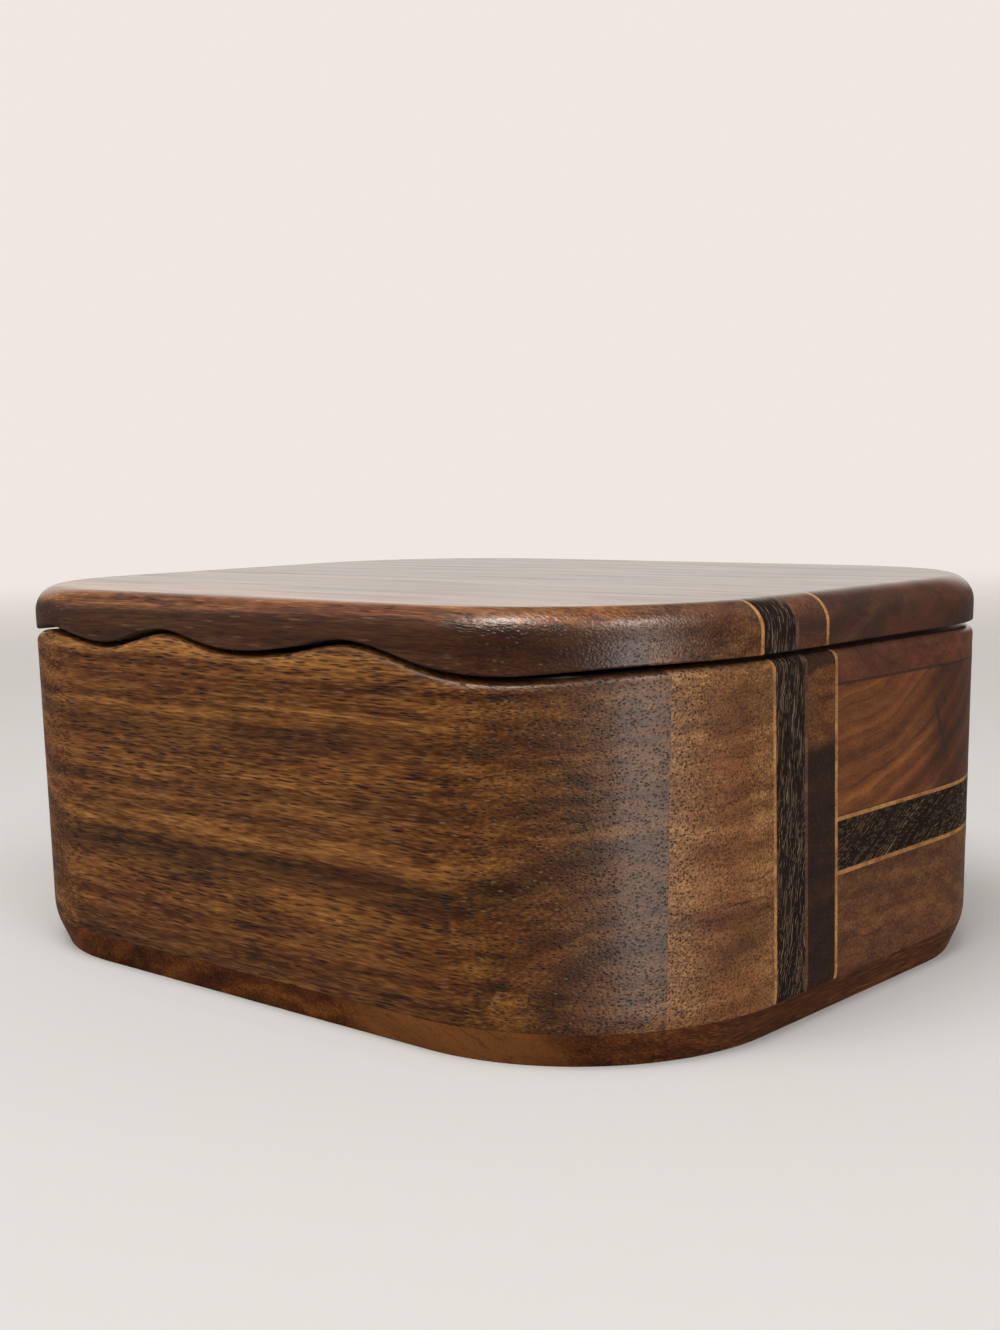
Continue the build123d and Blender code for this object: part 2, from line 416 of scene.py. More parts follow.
    def shaded_and_stained(self, tree: bpy.types.NodeTree, colour: Signal, coordinates: Signal) -> Signal:
        """Colour the zones where the wood differs, with real stains and with painted shade.

        Args:
            tree: the node tree.
            colour: the wood's colour so far.
            coordinates: the place in the box, in metres.

        Returns:
            The new colour.
        """
        for stain_or_shade in self.stains_and_shades:
            inside = add_node(
                tree,
                "Mapping",
                {"vector_type": "TEXTURE"},
                {
                    "Vector": coordinates,
                    "Location": [size * MM for size in stain_or_shade.centre],
                    "Rotation": (0.0, math.radians(stain_or_shade.turn), 0.0),
                    "Scale": [size * MM for size in stain_or_shade.reach],
                },
            )
            off = add_node(tree, "VectorMath", LENGTH, [inside]).outputs["Value"]
            edge = (1.0 - stain_or_shade.soft_share, 1.0)
            taken = add_node(tree, "MapRange", SMOOTH, [off, *edge, stain_or_shade.share, 0.0])
            tinted = {AMOUNT: taken, FIRST: colour, SECOND: linear(stain_or_shade.colour)}
            blend = {**COLOURS, "blend_type": stain_or_shade.blend}
            colour = add_node(tree, "Mix", blend, tinted).outputs[MIXED]
        return colour

    def clusters(self, tree: bpy.types.NodeTree, place: Signal, streak: Signal) -> Signal:
        """Find where pores crowd together, which is mostly in the dark streaks.

        Args:
            tree: the node tree.
            place: the place in the board, in mm.
            streak: the pattern of long streaks.

        Returns:
            How crowded the pores are, as a share.
        """
        patch = self.cloud(tree, place, CLUSTER_SIZE, detail=2.0)
        crowd = add_node(tree, "MapRange", SMOOTH, [patch, *CLUSTER_LEVELS, 1.0, 0.0])
        dark = [streak, *DARK_STREAK_LEVELS, 1.0, PALE_STREAK_SHARE]
        return add_node(tree, "Math", TIMES, [crowd, add_node(tree, "MapRange", SMOOTH, dark)])

    def banded(
        self, tree: bpy.types.NodeTree, colour: Signal, cluster: Signal, distance: Signal
    ) -> Signal:
        """Darken the clusters of pores and the bands of rings that stand out.

        Args:
            tree: the node tree.
            colour: the wood's colour so far.
            cluster: how crowded the pores are.
            distance: the distance from the heart, in mm.

        Returns:
            The new colour.
        """
        crowd = add_node(tree, "MapRange", SMOOTH, [cluster, 0.0, 1.0, 0.0, self.patch_share])
        shaded = {AMOUNT: crowd, FIRST: colour, SECOND: linear(CLUSTER_SHADE)}
        colour = add_node(tree, "Mix", SHADES, shaded).outputs[MIXED]
        for band in self.bands:
            ahead = add_node(tree, "Math", LESS, [distance, band.distance])
            off = add_node(tree, "Math", {"operation": "ABSOLUTE"}, [ahead])
            edge = ((1.0 - band.soft_share) * band.half_width, band.half_width)
            dark = add_node(tree, "MapRange", SMOOTH, [off, *edge, band.depth, 0.0])
            shaded = {AMOUNT: dark, FIRST: colour, SECOND: linear(BAND_SHADE)}
            colour = add_node(tree, "Mix", SHADES, shaded).outputs[MIXED]
        return colour

    def lined(
        self, tree: bpy.types.NodeTree, colour: Signal, place: Signal, distance: Signal
    ) -> Signal:
        """Draw the thin growth lines, unevenly spaced and broken.

        Args:
            tree: the node tree.
            colour: the wood's colour so far.
            place: the place in the board, in mm.
            distance: the distance from the heart, in mm.

        Returns:
            The new colour.
        """
        spread = LINE_UNEVENNESS * self.line_spacing
        noise = add_node(
            tree, "TexNoise", ONE_AXIS, {"W": distance, "Scale": 1.0 / spread, "Detail": 1.0}
        )
        uneven = add_node(tree, "Math", TIMES_PLUS, [noise, spread, distance])
        off = add_node(tree, "Math", {"operation": "PINGPONG"}, [uneven, self.line_spacing / 2])
        edge = [share * self.line_width for share in LINE_EDGE_SHARES]
        line = add_node(tree, "MapRange", SMOOTH, [off, *edge, self.line_share, 0.0])
        break_across, break_up = self.line_break
        piece = (break_across, LINE_PIECE_LENGTH, break_up)
        breaks = self.cloud(tree, place, piece, detail=1.0)
        levels = (self.line_gap, self.line_gap + LINE_GAP_SOFTNESS)
        whole = add_node(tree, "MapRange", SMOOTH, [breaks, *levels, 0.0, 1.0])
        drawn = add_node(tree, "Math", TIMES, [line, whole])
        tinted = {AMOUNT: drawn, FIRST: colour, SECOND: linear(self.line_colour)}
        return add_node(tree, "Mix", COLOURS, tinted).outputs[MIXED]

    def pored(
        self, tree: bpy.types.NodeTree, colour: Signal, place: Signal, cluster: Signal
    ) -> tuple[Signal, Signal]:
        """Draw the pores, most of them empty and dark, a few filled and pale.

        Args:
            tree: the node tree.
            colour: the wood's colour so far.
            place: the place in the board, in mm.
            cluster: how crowded the pores are.

        Returns:
            The new colour, and how deep a pore is, as a share.
        """
        cell = (self.pore_spacing, self.pore_length, self.pore_spacing)
        cells = add_node(tree, "VectorMath", DIVIDED, [place, cell])
        pores = add_node(tree, "TexVoronoi", inputs={"Vector": cells, "Scale": 1.0})
        draw = add_node(tree, "SeparateColor", inputs=[pores.outputs["Color"]])
        core = add_node(
            tree, "MapRange", SMOOTH, [pores.outputs["Distance"], *PORE_EDGE_SHARES, 1.0, 0.0]
        )
        empty = add_node(
            tree, "MapRange", SMOOTH, [draw, *EMPTY_DRAWS, FAINTEST_PORE_SHARE, self.pore_share]
        )
        shown = add_node(tree, "MapRange", SMOOTH, [cluster, 0.0, 1.0, self.pore_rest, 1.0])
        dark = add_node(tree, "Math", TIMES, [core, empty])
        pore = add_node(tree, "Math", TIMES, [dark, shown])
        shaded = {AMOUNT: pore, FIRST: colour, SECOND: linear(PORE_SHADE)}
        colour = add_node(tree, "Mix", SHADES, shaded).outputs[MIXED]
        filled = add_node(tree, "MapRange", SMOOTH, [draw, *FILLED_DRAWS, 0.0, self.fleck_share])
        pale = add_node(tree, "Math", TIMES, [core, filled])
        tinted = {AMOUNT: pale, FIRST: colour, SECOND: linear(FILLED_PORE)}
        return add_node(tree, "Mix", COLOURS, tinted).outputs[MIXED], pore

    def film(
        self, tree: bpy.types.NodeTree, facing: Signal, normal: Signal, streak: Signal
    ) -> Signal:
        """Find how much the oil film mirrors: a lot on a level face at a slant, little elsewhere.

        Args:
            tree: the node tree.
            facing: how far the surface turns from the look.
            normal: the surface's direction in the board.
            streak: the pattern of long streaks, which dull the film a little.

        Returns:
            The film's weight.
        """
        rise = add_node(tree, "SeparateXYZ", inputs=[normal]).outputs["Z"]
        slant = add_node(tree, "MapRange", SMOOTH, [facing, *SLANT_FACINGS, 0.0, 1.0])
        level = add_node(tree, "MapRange", SMOOTH, [rise, *LEVEL_RISES, UPRIGHT_MIRROR, 1.0])
        satin = [streak, *SATIN_STREAK_LEVELS, DULL_STREAK_MIRROR, 1.0]
        slant = add_node(tree, "Math", TIMES, [slant, level])
        slant = add_node(tree, "Math", TIMES, [slant, add_node(tree, "MapRange", SMOOTH, satin)])
        return add_node(tree, "Math", LARGER, [slant, STRAIGHT_MIRROR])

    def make(self) -> bpy.types.Material:
        """Build the material.

        Returns:
            The finished material.
        """
        material, tree = start_material(self.name)
        source = add_node(tree, "TexCoord")
        coordinates = source.outputs["Object"]
        heart_x, heart_z = self.heart
        place = add_node(
            tree,
            "Mapping",
            inputs={
                "Vector": coordinates,
                "Location": (-heart_x, self.seed, -heart_z),
                "Rotation": (0.0, 0.0, math.radians(self.grain.value)),
                "Scale": (PER_MM, PER_MM, PER_MM),
            },
        )
        distance = self.heart_distance(tree, place)
        streak = self.cloud(tree, place, STREAK_SIZE, detail=3.0)
        thread = FIBRE_WIDTH_SHARE * self.pore_spacing
        fibre = self.cloud(tree, place, (thread, self.pore_length, thread), detail=2.0)
        cluster = self.clusters(tree, place, streak)

        colour = self.ground(tree, place, distance, streak, fibre)
        colour = self.shaded_and_stained(tree, colour, coordinates)
        colour = self.banded(tree, colour, cluster, distance)
        colour = self.lined(tree, colour, place, distance)
        colour, pore = self.pored(tree, colour, place, cluster)

        height = self.weigh(tree, 0.0, fibre, FIBRE_RISE_SHARE)
        height = self.weigh(tree, height, pore, PORE_RISE_SHARE)
        bump = add_node(
            tree,
            "Bump",
            inputs={"Strength": 0.8, "Distance": RELIEF_DEPTH * MM, "Height": height},
        )
        facing = add_node(tree, "LayerWeight", inputs={"Blend": 0.5}).outputs["Facing"]
        in_pore = [pore, *PORE_DEPTHS, self.roughness, PORE_ROUGHNESS]
        at_slant = [facing, *SOFTENED_FACINGS, 0.0, ADDED_ROUGHNESS]
        rough = add_node(
            tree,
            "Math",
            {"operation": "ADD", "use_clamp": True},
            [add_node(tree, "MapRange", SMOOTH, part) for part in (in_pore, at_slant)],
        )
        shader = add_node(
            tree,
            "BsdfPrincipled",
            inputs={
                "Base Color": colour,
                "Roughness": rough,
                "Specular IOR Level": self.gloss,
                "Specular Tint": linear("#fff2e8"),
                "Sheen Weight": 0.06,
                "Sheen Roughness": 0.2,
                "Sheen Tint": linear("#e8c9ae"),
                "Coat Weight": self.film(tree, facing, source.outputs["Normal"], streak),
                "Coat Roughness": 0.16,
                "Coat IOR": 1.5,
                "Normal": bump,
            },
        )
        add_node(tree, "OutputMaterial", inputs={"Surface": shader})
        return material


# Straight-grained walnut: long dark streaks and pore dashes, dots where its end shows at a corner.
LEFT_WALNUT = OiledWood(
    name="walnut_left_board",
    tones=("#2a1004", "#48260b", "#673f1b", "#86582a", "#a5733a"),
    heart=(-68.0, 5.0),
    band_share=0.3,
    streak_share=0.6,
    patch_share=0.55,
    fibre_share=0.7,
    line_spacing=3.6,
    line_share=0.55,
    pore_share=1.0,
    pore_rest=0.8,
    pore_length=6.0,
    fleck_share=0.25,
    wander=2.0,
    blush_share=0.2,
    bands=(
        GrowthBand(28.0, 4.5, 0.55, 0.8),
        GrowthBand(36.0, 2.0, 0.3),
        GrowthBand(48.5, 5.0, 0.55, 0.8),
        GrowthBand(62.0, 2.5, 0.4),
        GrowthBand(76.0, 4.0, 0.4),
    ),
    stains_and_shades=(StainAndShade((-88.0, -118.0, 50.0), (38.0, 58.0, 95.0), "#3c2212", 0.45, 0.7),),
)

# Pale walnut that shows its end: a fine stipple of pores over faint slanting rings.
SECOND_WALNUT = OiledWood(
    name="walnut_second_board",
    tones=("#2e1608", "#5a3316", "#84582f", "#ab7c4c", "#cc9c66"),
    heart=(-64.0, 150.0),
    band_share=0.2,
    streak_share=0.3,
    patch_share=0.2,
    fibre_share=0.6,
    line_spacing=1.7,
    line_share=0.45,
    line_break=(14.0, 5.0),
    line_width=0.35,
    pore_share=1.0,
    pore_rest=0.9,
    pore_length=4.0,
    wander=1.5,
    bands=(
        GrowthBand(55.0, 4.0, 0.25),
        GrowthBand(72.0, 3.0, 0.25),
        GrowthBand(93.0, 3.0, 0.2),
        GrowthBand(116.0, 3.5, 0.35),
    ),
    stains_and_shades=(
        StainAndShade((-60.0, -125.0, 50.0), (11.0, 60.0, 60.0), "#74422a", 0.35),
        StainAndShade((-54.0, -125.0, 26.0), (24.0, 60.0, 7.0), "#452814", 0.6, 0.9, -24.0),
        StainAndShade((-54.0, -125.0, 84.0), (24.0, 60.0, 9.0), "#4d2d18", 0.5, 0.9, -14.0),
    ),
    seed=300.0,
)

# The dark glue line that parts the top board from the middle board.
TOP_GLUE_LINE = StainAndShade((0.0, 0.0, 84.0), (400.0, 400.0, 0.6), "#1c0c06", 0.75)

# Reddish walnut with a close, calm grain.
TOP_WALNUT = OiledWood(
    name="walnut_top_board",
    tones=("#2c1106", "#421e0d", "#552a16", "#6a3a21", "#7e4c2c"),
    heart=(-30.0, -20.0),
    band_share=0.3,
    patch_share=0.2,
    fibre_share=0.4,
    line_share=0.4,
    pore_share=0.35,
    stains_and_shades=(TOP_GLUE_LINE,),
    seed=610.0,
)

# Orange-brown walnut whose rings show as wide arcs, with one short crack, darker towards its right
# end, partly as darker wood and partly as painted shade.
MIDDLE_WALNUT = OiledWood(
    name="walnut_middle_board",
    tones=("#351603", "#50280a", "#693913", "#834c1f", "#9d652c"),
    heart=(-25.0, 175.0),
    ring_width=5.0,
    band_share=0.55,
    streak_share=0.2,
    patch_share=0.1,
    fibre_share=0.3,
    line_spacing=3.4,
    line_share=0.45,
    pore_share=0.5,
    wander=1.4,
    ripple=0.25,
    bands=(
        GrowthBand(97.0, 0.9, 0.3),
        GrowthBand(108.0, 1.1, 0.35),
        GrowthBand(114.0, 0.9, 0.3),
        GrowthBand(120.0, 0.9, 0.3),
    ),
    stains_and_shades=(
        # Darker towards the right end of the front: partly darker wood, partly painted shade.
        StainAndShade((74.0, -110.0, 66.0), (52.0, 60.0, 60.0), "#937f76", 0.85, 0.3, blend="MULTIPLY"),
        StainAndShade((39.4, -122.0, 66.3), (1.6, 40.0, 13.0), "#2a150c", 0.75, 0.7, -25.0),
        TOP_GLUE_LINE,
        StainAndShade((0.0, 0.0, 50.4), (400.0, 400.0, 0.5), "#1c0c06", 0.6),
    ),
    seed=930.0,
)

# Even mid-brown walnut with fine level lines and many small pores.
LOWER_WALNUT = OiledWood(
    name="walnut_lower_board",
    tones=("#2d1603", "#46240d", "#5e3818", "#784c26", "#926137"),
    heart=(0.0, -150.0),
    band_share=0.25,
    patch_share=0.25,
    fibre_share=0.6,
    line_spacing=2.4,
    line_share=0.4,
    pore_share=0.85,
    seed=1250.0,
)

# A walnut strip sawn across a dark band of rings: brown above, nearly black below.
STRIP_WALNUT = OiledWood(
    name="walnut_strip",
    tones=("#341806", "#4d2a10", "#643c1b", "#7b5029", "#926537"),
    heart=(39.5, -529.0),
    patch_share=0.2,
    gloss=0.045,
    bands=(GrowthBand(503.0, 100.0, 0.95, 0.035), GrowthBand(719.0, 100.0, 0.8, 0.01)),
    seed=1570.0,
)

# The same strip on the lid, dark brown all over.
LID_STRIP_WALNUT = OiledWood(
    name="walnut_lid_strip",
    tones=("#250f05", "#361a0b", "#472613", "#5b381e", "#6f4b2c"),
    heart=(39.5, -529.0),
    patch_share=0.2,
    seed=1730.0,
)

# Deep brown walnut with its grain across the box and one pale patch on the front left edge.
BASE_WALNUT = OiledWood(
    name="walnut_base_plate",
    tones=("#200a03", "#391905", "#4d2709", "#633712", "#7b491d"),
    heart=(20.0, -90.0),
    patch_share=0.2,
    gloss=0.04,
    stains_and_shades=(StainAndShade((-103.0, -70.0, 4.0), (38.0, 38.0, 30.0), "#7d4e26", 0.75, 0.5),),
    grain=Grain.ALONG_WIDTH,
    seed=1890.0,
)

# Streaky walnut with painted light on top, as if lit from above, and painted shade down its side.
LID_LEFT_WALNUT = OiledWood(
    name="walnut_lid_left_board",
    tones=("#311406", "#532c10", "#734521", "#945e32", "#b57b45"),
    heart=(-60.0, 180.0),
    streak_share=0.6,
    fleck_share=0.15,
    roughness=0.33,
    # This zone is painted shade: it darkens the board down its side, below its rounded top edge.
    stains_and_shades=(StainAndShade((0.0, 0.0, 85.2), (4000.0, 4000.0, 20.0), "#2a1812", 0.88, 0.17),),
    seed=2210.0,
)

# Cool brown walnut with a few pale flecks.
LID_SECOND_WALNUT = OiledWood(
    name="walnut_lid_second_board",
    tones=("#271206", "#3d210f", "#53321a", "#69462a", "#815b3c"),
    heart=(-80.0, 140.0),
    fleck_share=0.15,
    roughness=0.33,
    seed=2530.0,
)

# Very dark red-brown walnut, smooth and close-grained.
LID_RIGHT_WALNUT = OiledWood(
    name="walnut_lid_right_board",
    tones=("#180802", "#281207", "#36190c", "#472514", "#5a351e"),
    heart=(60.0, -60.0),
    patch_share=0.3,
    fibre_share=0.4,
    pore_share=0.35,
    fleck_share=0.05,
    roughness=0.33,
    seed=2850.0,
)

# Wenge: nearly black, with thin broken pale lines, which are finer and closer on real wenge.
WENGE_STRIP = OiledWood(
    name="wenge_strip",
    tones=("#0a0401", "#110703", "#190d07", "#24150d", "#322116"),
    heart=(-440.0, 150.0),
    streak_share=0.2,
    patch_share=0.1,
    fibre_share=0.4,
    line_colour="#957d68",
    line_spacing=0.7,
    line_share=0.85,
    line_break=(0.45, 4.0),
    line_width=0.24,
    line_gap=0.44,
    pore_share=0.4,
    wander=1.2,
    gloss=0.025,
    blush_share=0.0,
    seed=3170.0,
)

# Wenge laid level, with its lines aslant and browner.
WENGE_BAND = replace(
    WENGE_STRIP,
    name="wenge_band",
    heart=(185.0, -259.0),
    line_colour="#7c654b",
    line_break=(2.0, 0.6),
)

# Maple veneer, which oil turns honey-coloured: a thin bright line.
MAPLE_LINE = OiledWood(
    name="maple_line",
    tones=("#7d4f25", "#9a6835", "#b07c46", "#c08d56", "#cb9c68"),
    heart=(0.0, -300.0),
    line_share=0.1,
    pore_share=0.3,
    seed=3810.0,
)

# Cherry veneer: a dull red-brown line between two dark strips.
CHERRY_LINE = OiledWood(
    name="cherry_line",
    tones=("#33190f", "#46291b", "#573828", "#684735", "#775543"),
    heart=(0.0, -300.0),
    pore_share=0.4,
    seed=4130.0,
)

BOARD_WOODS = {
    "left_board": LEFT_WALNUT,
    "front_second_board": SECOND_WALNUT,
    "back_second_board": SECOND_WALNUT,
    "right_top_board": TOP_WALNUT,
    "right_middle_board": MIDDLE_WALNUT,
    "right_lower_board": LOWER_WALNUT,
    "front_walnut_strip": STRIP_WALNUT,
    "back_walnut_strip": STRIP_WALNUT,
    "base_plate": BASE_WALNUT,
    "lid_left_board": LID_LEFT_WALNUT,
    "lid_second_board": LID_SECOND_WALNUT,
    "lid_walnut_strip": LID_STRIP_WALNUT,
    "lid_right_board": LID_RIGHT_WALNUT,
    "front_wenge_strip": WENGE_STRIP,
    "back_wenge_strip": WENGE_STRIP,
    "lid_wenge_strip": WENGE_STRIP,
    "right_wenge_band": WENGE_BAND,
}


@dataclass(frozen=True)
class Brass:
    """Satin brass sheet and rod, drawn and lightly brushed, with a dull film in places.

    Brushing gives the eye a soft glow drawn out along the lines, and the film makes it uneven.

    Attributes:
        name: the material's name.
        tones: sRGB colours of the dull film and of the clean metal.
        tone_levels: where in the film's pattern those two stand.
        brush_length: length of the brush lines, in mm.
        brush_spacing: spacing of the brush lines, in mm.
        film_size: size of the dull patches, in mm.
        roughness: the least and the most that the brush lines give.
        relief: depth of the brush lines, in mm.
    """

    name: str = "satin_brass"
    tones: tuple[str, str] = ("#a9854a", "#d9b878")
    tone_levels: tuple[float, float] = (0.35, 0.65)
    brush_length: float = 6.0
    # Real brush lines are finer than this and wouldn't show, so they are drawn this coarse.
    brush_spacing: float = 0.2
    film_size: float = 7.0
    roughness: tuple[float, float] = (0.22, 0.42)
    relief: float = 0.05

    def make(self) -> bpy.types.Material:
        """Build the material.

        Returns:
            The finished material.
        """
        material, tree = start_material(self.name)
        place = add_node(tree, "TexCoord").outputs["Object"]
        across = PER_MM / self.brush_spacing
        brushed = add_node(
            tree,
            "Mapping",
            inputs={"Vector": place, "Scale": (PER_MM / self.brush_length, across, across)},
        )
        lines = add_node(tree, "TexNoise", inputs={"Vector": brushed, "Scale": 1.0, "Detail": 2.0})
        film = add_node(
            tree,
            "TexNoise",
            inputs={"Vector": place, "Scale": PER_MM / self.film_size, "Detail": 3.0},
        )
        stops = [(level, linear(tone)) for level, tone in zip(self.tone_levels, self.tones)]
        smoothest, roughest = self.roughness
        shader = add_node(
            tree,
            "BsdfPrincipled",
            inputs={
                "Base Color": add_node(tree, "ValToRGB", inputs=[film], stops=stops),
                "Metallic": 1.0,
                "Roughness": add_node(
                    tree,
                    "MapRange",
                    inputs={"Value": lines, "To Min": smoothest, "To Max": roughest},
                ),
                "Normal": add_node(
                    tree,
                    "Bump",
                    inputs={"Strength": 0.15, "Distance": self.relief * MM, "Height": lines},
                ),
            },
        )
        add_node(tree, "OutputMaterial", inputs={"Surface": shader})
        return material


@dataclass(frozen=True)
class SuedeLining:
    """A sheet of brushed suede, laid on the floor of the hollow.

    Its nap gives the eye a dull, deep brown that turns a little with the strokes of a hand.

    Attributes:
        node: the CAD node whose place it takes.
        corner_radius: radius of its corners, in mm.
        corner_segments: how many pieces a corner is made of.
        edge_round: radius of its soft upper edge, in mm.
        edge_segments: how many pieces that edge is made of.
        edge_angle: how sharp an edge is rounded, in degrees.
        smooth_angle: up to which angle faces blend into each other, in degrees.
        tones: sRGB colours of the nap, from brushed away to brushed towards the eye.
        tone_start: where in the nap's pattern the first tone stands.
        tone_step: how far the tones stand apart in it.
        stroke: size of the brushed strokes, in mm.
        nap: size of the nap's tufts, in mm.
        nap_share: how much of the pattern is nap, where the rest is strokes.
        relief: depth of the nap, in mm.
    """

    node: str = "floor_lining"
    corner_radius: float = 49.7
    corner_segments: int = 20
    edge_round: float = 0.9
    edge_segments: int = 4
    edge_angle: float = 60.0
    smooth_angle: float = 40.0
    tones: tuple[str, ...] = ("#281a11", "#35241a", "#463226")
    tone_start: float = 0.35
    tone_step: float = 0.15
    stroke: float = 30.0
    # Real tufts are far finer than this and wouldn't show, so they are drawn this coarse.
    nap: float = 0.6
    nap_share: float = 0.45
    relief: float = 0.15

    def material(self) -> bpy.types.Material:
        """Build the suede: a matt nap with brushed streaks and a soft sheen.

        Returns:
            The finished material.
        """
        material, tree = start_material("brushed_suede")
        place = add_node(tree, "TexCoord").outputs["Object"]
        brushed = add_node(
            tree, "TexNoise", inputs={"Vector": place, "Scale": PER_MM / self.stroke, "Detail": 3.0}
        )
        tufts = add_node(
            tree, "TexNoise", inputs={"Vector": place, "Scale": PER_MM / self.nap, "Detail": 2.0}
        )
        mixed = add_node(
            tree,
            "Mix",
            {"data_type": "FLOAT"},
            {"Factor": self.nap_share, "A": brushed, "B": tufts},
        )
        stops = [
            (self.tone_start + self.tone_step * number, linear(tone))
            for number, tone in enumerate(self.tones)
        ]
        bump = add_node(
            tree,
            "Bump",
            inputs={"Strength": 0.6, "Distance": self.relief * MM, "Height": mixed},
        )
        shader = add_node(
            tree,
            "BsdfPrincipled",
            inputs={
                "Base Color": add_node(tree, "ValToRGB", inputs=[mixed], stops=stops),
                "Roughness": 0.95,
                "Specular IOR Level": 0.1,
                "Sheen Weight": 0.25,
                "Sheen Roughness": 0.5,
                "Sheen Tint": linear("#b0845f"),
                "Normal": bump,
            },
        )
        add_node(tree, "OutputMaterial", inputs={"Surface": shader})
        return material

    def make(self, nodes: dict[str, bpy.types.Object]) -> None:
        """Add the sheet in the place of its CAD solid.

        Args:
            nodes: the frame's nodes by name.
        """
        # The first corner of a bounding box is its lowest, and the seventh its highest.
        corners = [Vector(corner) for corner in nodes[self.node].bound_box]
        low, high = corners[0], corners[6]
        size = high - low
        bpy.ops.object.select_all(action="DESELECT")
        bpy.ops.mesh.primitive_plane_add(size=1.0, location=(low + high) / 2)
        sheet = bpy.context.active_object
        sheet.name = "suede_lining"
        sheet.scale = (size.x, size.y, 1.0)
        bpy.ops.object.transform_apply(location=True, rotation=True, scale=True)
        corner = sheet.modifiers.new("cut_corners", "BEVEL")
        corner.affect = "VERTICES"
        corner.width = self.corner_radius * MM
        corner.segments = self.corner_segments
        thick = sheet.modifiers.new("thickness", "SOLIDIFY")
        thick.thickness = size.z
        thick.offset = 0.0
        edge = sheet.modifiers.new("soft_edge", "BEVEL")
        edge.width = self.edge_round * MM
        edge.segments = self.edge_segments
        edge.limit_method = "ANGLE"
        edge.angle_limit = math.radians(self.edge_angle)
        for modifier in [modifier.name for modifier in sheet.modifiers]:
            bpy.ops.object.modifier_apply(modifier=modifier)
        bpy.ops.object.shade_smooth_by_angle(angle=math.radians(self.smooth_angle))
        sheet.data.materials.append(self.material())
        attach(sheet, "box_body")
        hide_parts(self.node)
        log.info("laid %s in the place of %s", sheet.name, self.node)


@dataclass
class Joinery:
    """The CAD nodes of the box, dressed in their woods and metals.

    Attributes:
        nodes: the frame's nodes by name.
        undressed: the node that a soft piece takes the place of.
        made: the materials made so far, by name.
    """

    nodes: dict[str, bpy.types.Object]
    undressed: str
    made: dict[str, bpy.types.Material] = field(default_factory=dict)

    def finish_for(self, name: str) -> OiledWood | Brass:
        """Choose the finish of one node.

        Args:
            name: the node's name.

        Returns:
            Its finish.
        """
        if "hinge" in name:
            return Brass()
        if "maple" in name:
            return MAPLE_LINE
        if "cherry" in name:
            return CHERRY_LINE
        return BOARD_WOODS[name]

    def dress(self) -> None:
        """Give every rigid node its finish."""
        for name, node in self.nodes.items():
            if name == self.undressed:
                continue
            finish = self.finish_for(name)
            if finish.name not in self.made:
                self.made[finish.name] = finish.make()
            node.data.materials.clear()
            node.data.materials.append(self.made[finish.name])
            log.info("dressed %s in %s", name, finish.name)


@dataclass(frozen=True)
class View:
    """The photograph's camera.

    Attributes:
        azimuth: turn about the box, in degrees; 0 looks along +Y.
        elevation: height of the look, in degrees.
        roll: tilt of the frame, in degrees.
        distance: distance to the point looked at, in mm.
        aside: how far the box stands right of the middle of the frame, in mm.
        above: how far it stands above the middle of the frame, in mm.
        focal_pixels: focal length in pixels of the photograph.
        frame_height: the photograph's longer side, in pixels.
        nearest: the least distance that is shown, in mm.
    """

    azimuth: float = -48.67
    elevation: float = 6.02
    roll: float = -1.0
    distance: float = 535.3
    aside: float = 0.2
    above: float = -79.83
    focal_pixels: float = 1748.4
    frame_height: float = 1330.0
    nearest: float = 10.0

    def make(self) -> None:
        """Add the camera and make it the scene's own."""
        turn = math.radians(self.azimuth)
        rise = math.radians(self.elevation)
        tilt = math.radians(self.roll)
        back = Vector(
            (math.sin(turn) * math.cos(rise), -math.cos(turn) * math.cos(rise), math.sin(rise))
        )
        level = Vector((math.cos(turn), math.sin(turn), 0.0))
        upright = back.cross(level)
        right = level * math.cos(tilt) + upright * math.sin(tilt)
        up = upright * math.cos(tilt) - level * math.sin(tilt)
        eye = (back * self.distance - right * self.aside - up * self.above) * MM
        camera = bpy.data.cameras.new("photo_camera")
        camera.lens = camera.sensor_width * self.focal_pixels / self.frame_height
        camera.clip_start = self.nearest * MM
        holder = bpy.data.objects.new("photo_camera", camera)
        bpy.context.scene.collection.objects.link(holder)
        axes = Matrix((right, up, back)).transposed().to_4x4()
        holder.matrix_world = Matrix.Translation(eye) @ axes
        bpy.context.scene.camera = holder


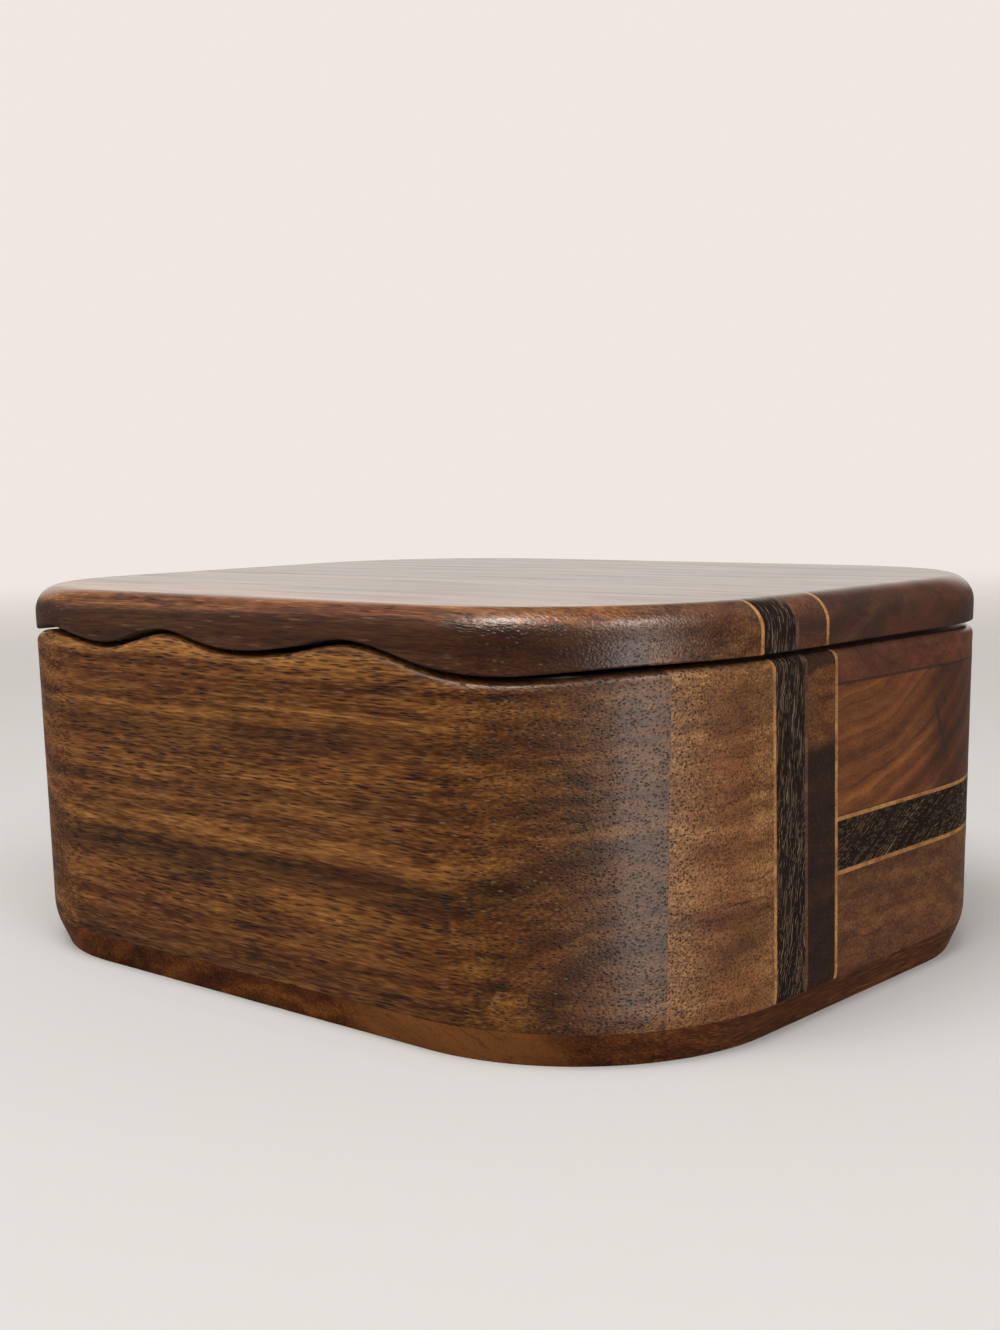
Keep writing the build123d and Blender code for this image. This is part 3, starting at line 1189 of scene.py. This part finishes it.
@dataclass(frozen=True)
class Softbox:
    """One soft lamp that points at the box.

    Attributes:
        name: the lamp's name.
        azimuth: direction from the box, in degrees counted from +X towards +Y.
        elevation: height of that direction, in degrees.
        distance: distance from the box, in metres.
        size: its width and height, in metres.
        power: its power, in watts.
        gloss_only: whether it shows only as a reflection, like a strip beside the set.
        under_floor: whether it shines up through the floor, for a glow from below.
        aim_height: how high above the floor it points, in mm.
    """

    name: str
    azimuth: float
    elevation: float
    distance: float
    size: tuple[float, float]
    power: float
    gloss_only: bool = False
    under_floor: bool = False
    aim_height: float = 50.0

    def make(self, floor: bpy.types.Object) -> None:
        """Add the lamp.

        Args:
            floor: the floor, which a lamp under it shines through.
        """
        turn = math.radians(self.azimuth)
        rise = math.radians(self.elevation)
        direction = Vector(
            (math.cos(turn) * math.cos(rise), math.sin(turn) * math.cos(rise), math.sin(rise))
        )
        lamp = bpy.data.lights.new(self.name, "AREA")
        lamp.shape = "RECTANGLE"
        lamp.size, lamp.size_y = self.size
        lamp.energy = self.power
        holder = bpy.data.objects.new(self.name, lamp)
        bpy.context.scene.collection.objects.link(holder)
        target = Vector((0.0, 0.0, self.aim_height * MM))
        holder.location = target + direction * self.distance
        holder.rotation_euler = direction.to_track_quat("Z", "Y").to_euler()
        holder.visible_camera = False
        holder.visible_diffuse = not self.gloss_only
        holder.visible_glossy = self.gloss_only
        if self.under_floor:
            blockers = bpy.data.collections.new(f"{self.name}_blockers")
            blockers.objects.link(floor)
            blockers.collection_objects[0].light_linking.link_state = "EXCLUDE"
            holder.light_linking.blocker_collection = blockers


# Three lamps light the box, and four show only as reflections in the oil.
SOFTBOXES = (
    Softbox("window", 246.0, 45.0, 2.2, (0.8, 1.0), power=12.0),
    Softbox("ceiling", 203.0, 80.0, 2.0, (0.8, 0.8), power=3.0),
    Softbox("fill", 180.0, 58.0, 2.4, (1.8, 1.4), power=36.0),
    Softbox("tall_strip", 251.0, 25.0, 2.0, (0.35, 1.9), power=98.0, gloss_only=True),
    Softbox(
        "low_strip", 248.0, -12.0, 2.0, (0.7, 0.5), power=94.0, gloss_only=True, under_floor=True
    ),
    Softbox("side_strip", 258.0, 55.0, 2.0, (0.5, 0.25), power=125.0, gloss_only=True),
    Softbox("top_strip", 165.0, 65.0, 2.0, (0.5, 0.4), power=200.0, gloss_only=True),
)


@dataclass(frozen=True)
class Studio:
    """A plain pale floor that fades into a pale room, and soft light.

    Attributes:
        floor_radius: radius of the floor, in metres.
        floor_sides: how many sides its round edge has.
        floor_fade: distances between which it fades out, in metres.
        floor_colour: sRGB colour of its matt paint, which mirrors nothing.
        room_colour: sRGB colour of the room.
        room_light: how strongly the room lights the box, against how strongly it is seen.
    """

    floor_radius: float = 4.0
    floor_sides: int = 128
    floor_fade: tuple[float, float] = (0.5, 2.2)
    floor_colour: str = "#d4d3d1"
    room_colour: str = "#f0e8e0"
    room_light: float = 0.5

    def floor(self) -> bpy.types.Object:
        """Add the floor, which isn't part of the object.

        Returns:
            The floor.
        """
        bpy.ops.object.select_all(action="DESELECT")
        bpy.ops.mesh.primitive_circle_add(
            vertices=self.floor_sides, radius=self.floor_radius, fill_type="NGON"
        )
        floor = bpy.context.active_object
        floor.name = "floor"
        material, tree = start_material("matt_pale_paint")
        place = add_node(tree, "TexCoord").outputs["Object"]
        reach = add_node(tree, "VectorMath", LENGTH, [place]).outputs["Value"]
        fade = add_node(tree, "MapRange", SMOOTH, [reach, *self.floor_fade])
        paint = add_node(
            tree,
            "BsdfPrincipled",
            inputs={
                "Base Color": linear(self.floor_colour),
                "Roughness": 0.8,
                "Specular IOR Level": 0.0,
            },
        )
        clear = add_node(tree, "BsdfTransparent")
        surface = add_node(tree, "MixShader", inputs=[fade, paint, clear])
        add_node(tree, "OutputMaterial", inputs={"Surface": surface})
        floor.data.materials.append(material)
        return floor

    def world(self) -> None:
        """Light the box from all round, before a pale backdrop."""
        world = bpy.data.worlds.new("pale_room")
        bpy.context.scene.world = world
        world.use_nodes = True
        tree = world.node_tree
        tree.nodes.clear()
        rays = add_node(tree, "LightPath").outputs
        seen = add_node(tree, "Math", LARGER, [rays["Is Camera Ray"], rays["Is Glossy Ray"]])
        shown = add_node(tree, "Math", LARGER, [seen, rays["Is Transmission Ray"]])
        strength = add_node(
            tree, "MapRange", inputs={"Value": shown, "To Min": self.room_light, "To Max": 1.0}
        )
        background = add_node(
            tree, "Background", inputs={"Color": linear(self.room_colour), "Strength": strength}
        )
        add_node(tree, "OutputWorld", inputs={"Surface": background})

    def make(self) -> None:
        """Set up the floor, the light and the way colours are shown."""
        floor = self.floor()
        self.world()
        for softbox in SOFTBOXES:
            softbox.make(floor)
        bpy.context.scene.view_settings.view_transform = "Standard"


def main() -> None:
    """Dress the box, then set up the studio and the camera."""
    logging.basicConfig(level=logging.INFO)
    lining = SuedeLining()
    Joinery(frame["nodes"], undressed=lining.node).dress()
    lining.make(frame["nodes"])
    Studio().make()
    View().make()


if __name__ == "__main__":
    main()
